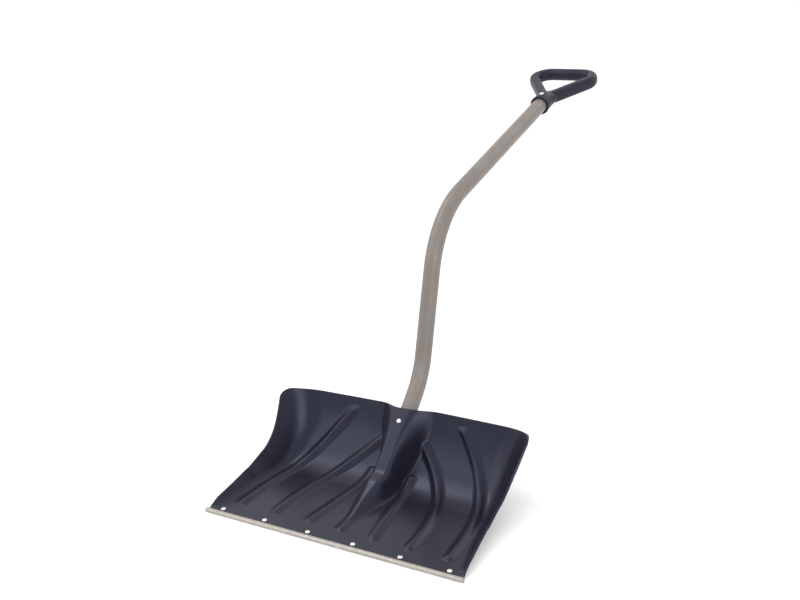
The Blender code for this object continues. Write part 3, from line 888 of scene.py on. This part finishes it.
def build_socket_bolt(surface):
    """Pan-head screw with a cross recess and a threaded tail."""
    low, top = bolt_ends()
    head = top - SCREW_HEAD
    shank = SCREW_SHANK
    profile = [(0, low), (0.0019, low)]
    profile += threaded(low + 0.0003, low + THREAD_LENGTH)
    profile += [(shank, low + THREAD_LENGTH + 0.0002), (shank, head)]
    profile += [(0.0037, head), (0.0040, head + 0.0003)]
    for k in range(DOME_RINGS):
        turn = math.pi / 2 * k / DOME_RINGS
        radius = 0.0016 + 0.0024 * math.cos(turn)
        profile.append((radius, head + 0.0009 + 0.0021 * math.sin(turn)))
    profile += [(0, top)]
    frame = socket_bolt_frame()
    item = lathe("socket_screw", profile, frame, SCREW_SEGMENTS, surface, 30)
    cutter = cross_cutter(frame, top - RECESS_DEPTH, surface)
    cut = item.modifiers.new("recess", "BOOLEAN")
    cut.operation = "DIFFERENCE"
    cut.object = cutter
    cut.use_self = True
    apply_modifiers(item)
    bpy.data.objects.remove(cutter, do_unlink=True)
    return show_instead(item, "fastener_steel", "socket_bolt")


def build_socket_nut(surface):
    """Hexagon nut with chamfered corners and a countersunk bore."""
    frame = socket_bolt_frame()
    low = -(SLEEVE_OUTER + NUT_DEPTH)
    high = -(SLEEVE_OUTER + GAP)
    outside = ((NUT_CHAMFERED, low), (NUT_HALF, low + NUT_EDGE))
    outside += ((NUT_HALF, high - NUT_EDGE), (NUT_CHAMFERED, high))
    bore = ((NUT_COUNTERSINK, high), (NUT_BORE, high - NUT_EDGE))
    bore += ((NUT_BORE, low + NUT_EDGE), (NUT_COUNTERSINK, low))
    points = []
    for radius, height in outside + bore:
        for k in range(NUT_SEGMENTS):
            turn = 2 * math.pi * k / NUT_SEGMENTS
            flat = math.cos(math.pi / 6) / math.cos((turn % (math.pi / 3)) - math.pi / 6)
            reach = min(radius, NUT_HALF * flat)
            spot = Vector((reach * math.cos(turn), reach * math.sin(turn), height))
            points.append(frame @ spot)
    faces = loop_faces(len(outside + bore), NUT_SEGMENTS, closed=True)
    item = mesh_object("socket_hex_nut", points, faces, surface, 25)
    return show_instead(item, "fastener_steel", "socket_nut")


# ---- materials ------------------------------------------------------------------------------


class Surface:
    """Small builder for a node material on one Principled shader."""

    def __init__(self, name):
        self.made = bpy.data.materials.new(name)
        self.made.use_nodes = True
        self.tree = self.made.node_tree
        self.shader = self.tree.nodes["Principled BSDF"]
        self.place = self.node("ShaderNodeTexCoord").outputs["Object"]

    def node(self, kind, **settings):
        made = self.tree.nodes.new(kind)
        for key, value in settings.items():
            setattr(made, key, value)
        return made

    def join(self, source, target):
        self.tree.links.new(source, target)

    def stretched(self, scale, turn=(0, 0, 0)):
        mapping = self.node("ShaderNodeMapping")
        mapping.inputs["Scale"].default_value = scale
        mapping.inputs["Rotation"].default_value = turn
        self.join(self.place, mapping.inputs["Vector"])
        return mapping.outputs["Vector"]

    def noise(self, scale, detail=3.0, roughness=0.5, vector=None, distortion=0.0):
        made = self.node("ShaderNodeTexNoise")
        made.inputs["Scale"].default_value = scale
        made.inputs["Detail"].default_value = detail
        made.inputs["Roughness"].default_value = roughness
        made.inputs["Distortion"].default_value = distortion
        self.join(vector or self.place, made.inputs["Vector"])
        return made.outputs["Fac"]

    def ramp(self, value, low, high, start=0.0, stop=1.0):
        made = self.node("ShaderNodeMapRange")
        made.interpolation_type = "SMOOTHSTEP"
        made.inputs["From Min"].default_value = low
        made.inputs["From Max"].default_value = high
        made.inputs["To Min"].default_value = start
        made.inputs["To Max"].default_value = stop
        self.join(value, made.inputs["Value"])
        return made.outputs["Result"]

    def maths(self, operation, a, b):
        made = self.node("ShaderNodeMath", operation=operation)
        for socket, value in zip(made.inputs, (a, b)):
            if isinstance(value, (int, float)):
                socket.default_value = value
            else:
                self.join(value, socket)
        return made.outputs[0]

    def mix(self, share, a, b):
        """Colour mix of a and b, each a colour or a socket."""
        made = self.node("ShaderNodeMix", data_type="RGBA")
        self.join(share, made.inputs["Factor"])
        for socket, value in ((made.inputs[6], a), (made.inputs[7], b)):
            if isinstance(value, tuple):
                socket.default_value = (*value, 1.0)
            else:
                self.join(value, socket)
        return made.outputs[2]

    def axis(self, letter):
        split = self.node("ShaderNodeSeparateXYZ")
        self.join(self.place, split.inputs[0])
        return split.outputs[letter]

    def colour(self, socket):
        self.join(socket, self.shader.inputs["Base Color"])

    def roughness(self, socket):
        self.join(socket, self.shader.inputs["Roughness"])

    def bump(self, height, distance, strength=1.0, below=None):
        made = self.node("ShaderNodeBump")
        made.inputs["Distance"].default_value = distance
        made.inputs["Strength"].default_value = strength
        self.join(height, made.inputs["Height"])
        if below:
            self.join(below, made.inputs["Normal"])
        self.join(made.outputs["Normal"], self.shader.inputs["Normal"])
        return made.outputs["Normal"]

    def constant(self, name, value):
        self.shader.inputs[name].default_value = value


def scoop_plastic():
    """Dark navy moulding, new and clean: slow flow marks under a fine grain."""
    s = Surface("scoop_plastic")
    cloud = s.noise(9.0, 4.0, 0.55, distortion=0.6)
    s.colour(s.mix(s.ramp(cloud, 0.3, 0.7), (0.0080, 0.0080, 0.0160), (0.0105, 0.0105, 0.0200)))
    s.roughness(s.ramp(s.noise(14.0, 3.0), 0.25, 0.75, 0.25, 0.31))
    grain = s.noise(1400.0, 2.0, 0.6)
    flow = s.noise(26.0, 2.0, 0.5, s.stretched((1.0, 0.35, 1.0)))
    first = s.bump(flow, 0.0009, 0.35)
    s.bump(grain, 0.00004, 0.6, first)
    s.constant("Specular IOR Level", 0.36)
    s.constant("Specular Tint", (0.72, 0.74, 1.0, 1.0))
    return s.made


def strip_steel():
    """Dull galvanised sheet, brushed lengthwise, with faint spangle and scrapes."""
    s = Surface("strip_steel")
    spangle = s.node("ShaderNodeTexVoronoi")
    spangle.inputs["Scale"].default_value = 190.0
    s.join(s.place, spangle.inputs["Vector"])
    tone = s.ramp(spangle.outputs["Color"], 0.0, 1.0)
    brushed = s.noise(220.0, 4.0, 0.6, s.stretched((0.06, 1.0, 1.0)))
    share = s.maths("ADD", s.maths("MULTIPLY", tone, 0.35), s.maths("MULTIPLY", brushed, 0.65))
    base = s.mix(share, (0.290, 0.270, 0.243), (0.440, 0.414, 0.376))
    scrape = s.ramp(s.noise(75.0, 5.0, 0.65, s.stretched((1.0, 0.10, 1.0))), 0.62, 0.70)
    s.colour(s.mix(s.maths("MULTIPLY", scrape, 0.5), base, (0.70, 0.68, 0.65)))
    s.roughness(s.ramp(brushed, 0.3, 0.7, 0.36, 0.52))
    s.bump(brushed, 0.00010, 0.5)
    s.constant("Metallic", 0.75)
    return s.made


def tube_paint():
    """Warm grey-brown paint with orange peel and a few rubbed patches."""
    s = Surface("tube_paint")
    cloud = s.noise(22.0, 4.0, 0.6)
    base = s.mix(s.ramp(cloud, 0.3, 0.7), (0.148, 0.126, 0.112), (0.175, 0.151, 0.134))
    fleck = s.ramp(s.noise(900.0, 2.0, 0.5), 0.55, 0.72)
    base = s.mix(s.maths("MULTIPLY", fleck, 0.30), base, (0.240, 0.210, 0.188))
    rub = s.ramp(s.noise(30.0, 5.0, 0.62, s.stretched((1.0, 0.35, 0.35))), 0.64, 0.74)
    s.colour(s.mix(s.maths("MULTIPLY", rub, 0.35), base, (0.290, 0.262, 0.238)))
    s.roughness(s.ramp(s.noise(40.0, 3.0), 0.3, 0.7, 0.34, 0.46))
    first = s.bump(s.noise(420.0, 2.0, 0.5), 0.00012, 0.35)
    s.bump(s.noise(1500.0, 1.0, 0.5), 0.00003, 0.4, first)
    s.constant("Specular IOR Level", 0.5)
    return s.made


def grip_plastic():
    """Dark blue-grey moulding with a fine leathery grain, polished where it is held."""
    s = Surface("grip_plastic")
    cloud = s.noise(30.0, 3.0, 0.5)
    s.colour(s.mix(s.ramp(cloud, 0.3, 0.7), (0.0150, 0.0150, 0.0240), (0.0190, 0.0190, 0.0290)))
    grain = s.node("ShaderNodeTexVoronoi")
    grain.inputs["Scale"].default_value = 900.0
    s.join(s.place, grain.inputs["Vector"])
    held = s.ramp(s.noise(18.0, 3.0), 0.3, 0.7, 0.36, 0.50)
    s.roughness(held)
    first = s.bump(grain.outputs["Distance"], 0.00006, 0.5)
    s.bump(s.noise(110.0, 2.0), 0.00012, 0.3, first)
    s.constant("Specular IOR Level", 0.22)
    s.constant("Specular Tint", (0.74, 0.76, 1.0, 1.0))
    return s.made


def plated_steel(name, dark, light, roughness):
    """Bright plated steel with small dull spots."""
    s = Surface(name)
    spots = s.ramp(s.noise(700.0, 4.0, 0.6), 0.35, 0.75)
    s.colour(s.mix(spots, light, dark))
    s.roughness(s.ramp(s.noise(520.0, 3.0), 0.3, 0.7, roughness - 0.06, roughness + 0.08))
    s.bump(s.noise(1600.0, 2.0), 0.00002, 0.4)
    s.constant("Metallic", 1.0)
    return s.made


def floor_paper():
    """Seamless white studio paper with barely visible tooth."""
    s = Surface("floor_paper")
    tooth = s.noise(3.0, 3.0)
    s.colour(s.mix(tooth, (0.955, 0.955, 0.955), (0.965, 0.965, 0.965)))
    s.bump(s.noise(400.0, 2.0), 0.00005, 0.2)
    s.constant("Roughness", 0.95)
    s.constant("Specular IOR Level", 0.0)
    return s.made


# ---- studio ---------------------------------------------------------------------------------


def build_floor():
    """Round sheet of pale paper just under the shovel, wide enough to fill the view."""
    points = [(0, 0, 0)]
    for k in range(FLOOR_SEGMENTS):
        turn = 2 * math.pi * k / FLOOR_SEGMENTS
        points.append((FLOOR_RADIUS * math.cos(turn), FLOOR_RADIUS * math.sin(turn), 0))
    faces = [(0, 1 + k, 1 + (k + 1) % FLOOR_SEGMENTS) for k in range(FLOOR_SEGMENTS)]
    floor = mesh_object("studio_floor", points, faces, floor_paper())
    floor.location.z = CAD_BOX[0].z - FLOOR_GAP


def build_world():
    world = bpy.data.worlds.new("studio")
    world.use_nodes = True
    back = world.node_tree.nodes["Background"]
    back.inputs["Color"].default_value = (1.0, 1.0, 1.0, 1.0)
    back.inputs["Strength"].default_value = WORLD_STRENGTH
    bpy.context.scene.world = world
    bpy.context.scene.view_settings.view_transform = "Standard"


def soft_light(name, place, aim, size, power):
    data = bpy.data.lights.new(name, "AREA")
    data.shape = "RECTANGLE"
    data.size, data.size_y = size
    data.energy = power
    lamp = bpy.data.objects.new(name, data)
    bpy.context.scene.collection.objects.link(lamp)
    lamp.location = place
    lamp.rotation_euler = (Vector(aim) - Vector(place)).to_track_quat("-Z", "Y").to_euler()


def build_lights():
    """Soft lights: each one's place, aim, size in metres and power in watts."""
    low, high = CAD_BOX
    behind, above = LOW_AIM
    scoop = Vector((0, low.y + behind, above))
    grip = Vector((0, high.y, high.z))
    soft_light("key", (-1.6, -0.9, 2.1), scoop, (2.3, 2.3), 21.0)
    soft_light("top", (-0.9, 0.55, 2.0), scoop, (0.7, 0.7), 6.5)
    soft_light("fill", (2.2, -1.2, 1.3), (scoop + grip) / 2, (1.6, 1.6), 22.0)
    soft_light("rim", (0.6, 2.6, 1.8), grip, (1.4, 0.8), 4.0)


def build_camera():
    data = bpy.data.cameras.new("camera")
    data.sensor_width = SENSOR_WIDTH
    data.lens = CAMERA_LENS
    camera = bpy.data.objects.new("camera", data)
    bpy.context.scene.collection.objects.link(camera)
    azimuth, elevation = CAMERA_AZIMUTH, CAMERA_ELEVATION
    forward = Vector((-math.sin(azimuth), math.cos(azimuth), 0)) * math.cos(elevation)
    forward.z = -math.sin(elevation)
    level = Vector((math.cos(azimuth), math.sin(azimuth), 0))
    upright = level.cross(forward)
    right = level * math.cos(CAMERA_ROLL) + upright * math.sin(CAMERA_ROLL)
    up = right.cross(forward)
    turned = Matrix((right, up, -forward)).transposed().to_4x4()
    camera.matrix_world = Matrix.Translation(CAMERA_PLACE) @ turned
    bpy.context.scene.camera = camera


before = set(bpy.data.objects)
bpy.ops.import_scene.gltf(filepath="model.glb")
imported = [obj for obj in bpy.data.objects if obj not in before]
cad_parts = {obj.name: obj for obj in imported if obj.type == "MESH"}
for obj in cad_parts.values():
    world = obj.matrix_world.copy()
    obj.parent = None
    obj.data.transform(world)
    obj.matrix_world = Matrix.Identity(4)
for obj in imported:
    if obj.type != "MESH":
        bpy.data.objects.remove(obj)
CAD_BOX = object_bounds()

rivet_metal = plated_steel("rivet_steel", (0.62, 0.61, 0.60), (0.88, 0.87, 0.86), 0.34)
fastener_metal = plated_steel("fastener_steel", (0.60, 0.60, 0.58), (0.86, 0.86, 0.84), 0.32)
build_scoop(scoop_plastic())
build_strip(strip_steel())
for number in range(1, 7):
    build_strip_rivet(number, rivet_metal)
build_tube(tube_paint())
build_grip(grip_plastic())
build_grip_rivet(fastener_metal)
build_socket_bolt(fastener_metal)
build_socket_nut(fastener_metal)
build_floor()
build_world()
build_lights()
build_camera()
